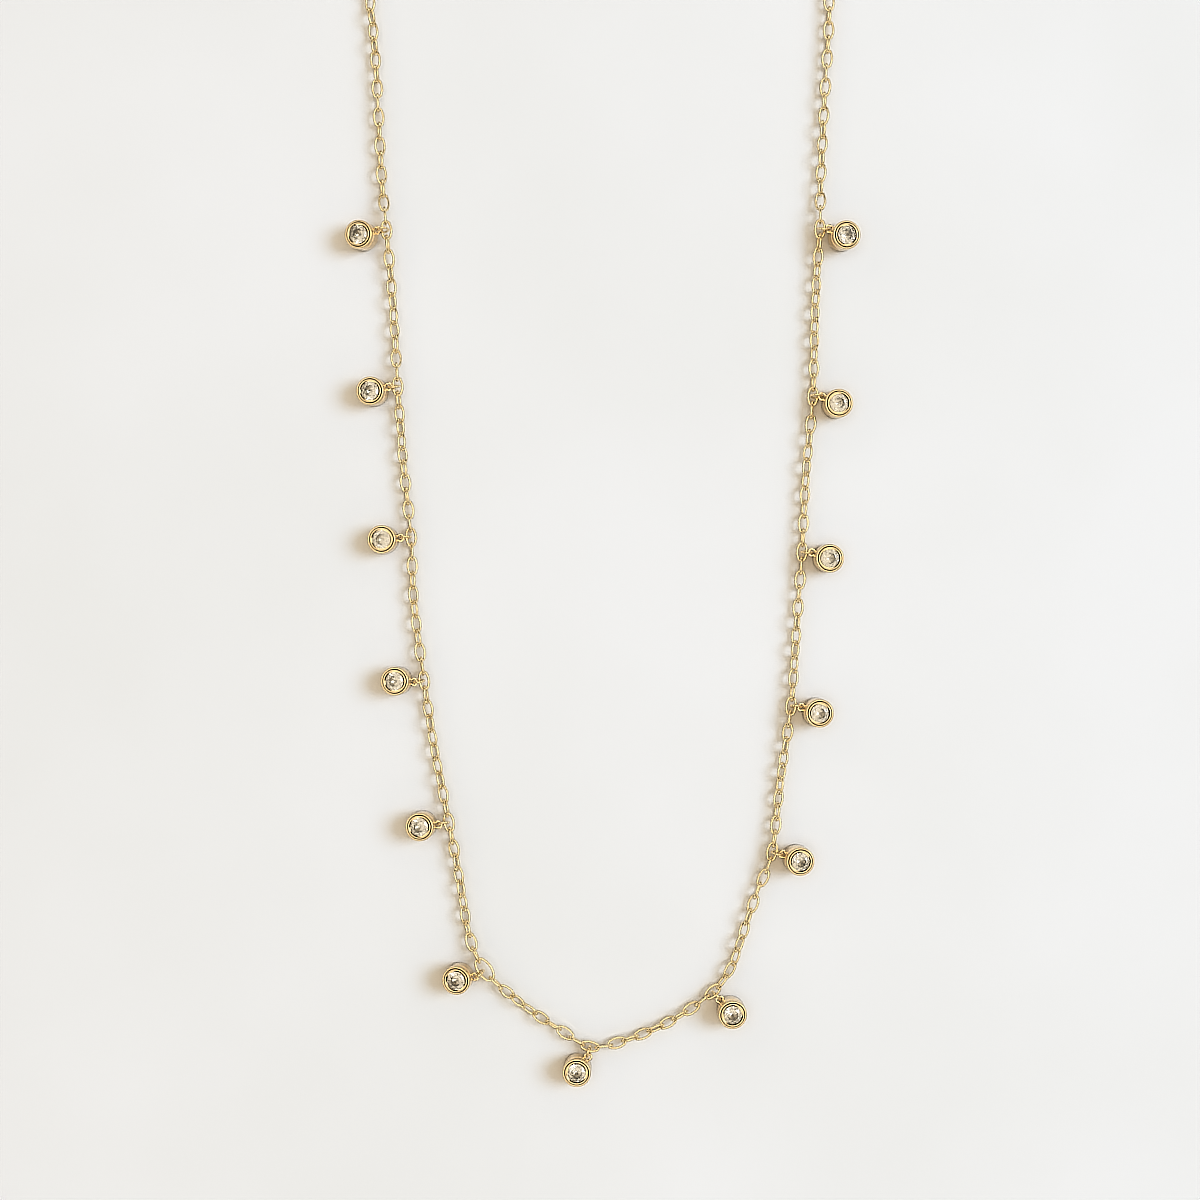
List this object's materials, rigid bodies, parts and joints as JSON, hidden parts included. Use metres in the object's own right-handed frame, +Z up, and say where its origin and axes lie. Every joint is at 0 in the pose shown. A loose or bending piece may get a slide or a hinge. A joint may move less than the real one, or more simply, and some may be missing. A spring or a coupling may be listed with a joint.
{
  "type": "station necklace",
  "caption": "Fine gold-coloured cable chain necklace with small round bezel-set clear stones hanging from jump rings along its outer side, laid flat as a closed loop.",
  "frame": {"origin": "middle of the laid-out loop, on the surface that it rests on", "axes": "+Z up from the surface, +Y from the lowest drop towards the clasp, +X to the right of someone who looks down with the clasp at the top"},
  "size_m": [0.0701, 0.1824, 0.0035],
  "materials": {
    "chain_gold": "polished pale gold",
    "cup_gold": "polished pale gold",
    "crystal": "clear, faceted"
  },
  "bodies": {
    "root": {"chain_left": "chain_gold", "chain_right": "chain_gold", "connector_link": "chain_gold", "clasp": "chain_gold", "end_ring": "chain_gold", "cup_01": "cup_gold", "cup_02": "cup_gold", "cup_03": "cup_gold", "cup_04": "cup_gold", "cup_05": "cup_gold", "cup_06": "cup_gold", "cup_07": "cup_gold", "cup_08": "cup_gold", "cup_09": "cup_gold", "cup_10": "cup_gold", "cup_11": "cup_gold", "cup_12": "cup_gold", "cup_13": "cup_gold", "stone_01": "crystal", "stone_02": "crystal", "stone_03": "crystal", "stone_04": "crystal", "stone_05": "crystal", "stone_06": "crystal", "stone_07": "crystal", "stone_08": "crystal", "stone_09": "crystal", "stone_10": "crystal", "stone_11": "crystal", "stone_12": "crystal", "stone_13": "crystal", "jump_ring_01": "chain_gold", "jump_ring_02": "chain_gold", "jump_ring_03": "chain_gold", "jump_ring_04": "chain_gold", "jump_ring_05": "chain_gold", "jump_ring_06": "chain_gold", "jump_ring_07": "chain_gold", "jump_ring_08": "chain_gold", "jump_ring_09": "chain_gold", "jump_ring_10": "chain_gold", "jump_ring_11": "chain_gold", "jump_ring_12": "chain_gold", "jump_ring_13": "chain_gold"}
  },
  "joints": []
}
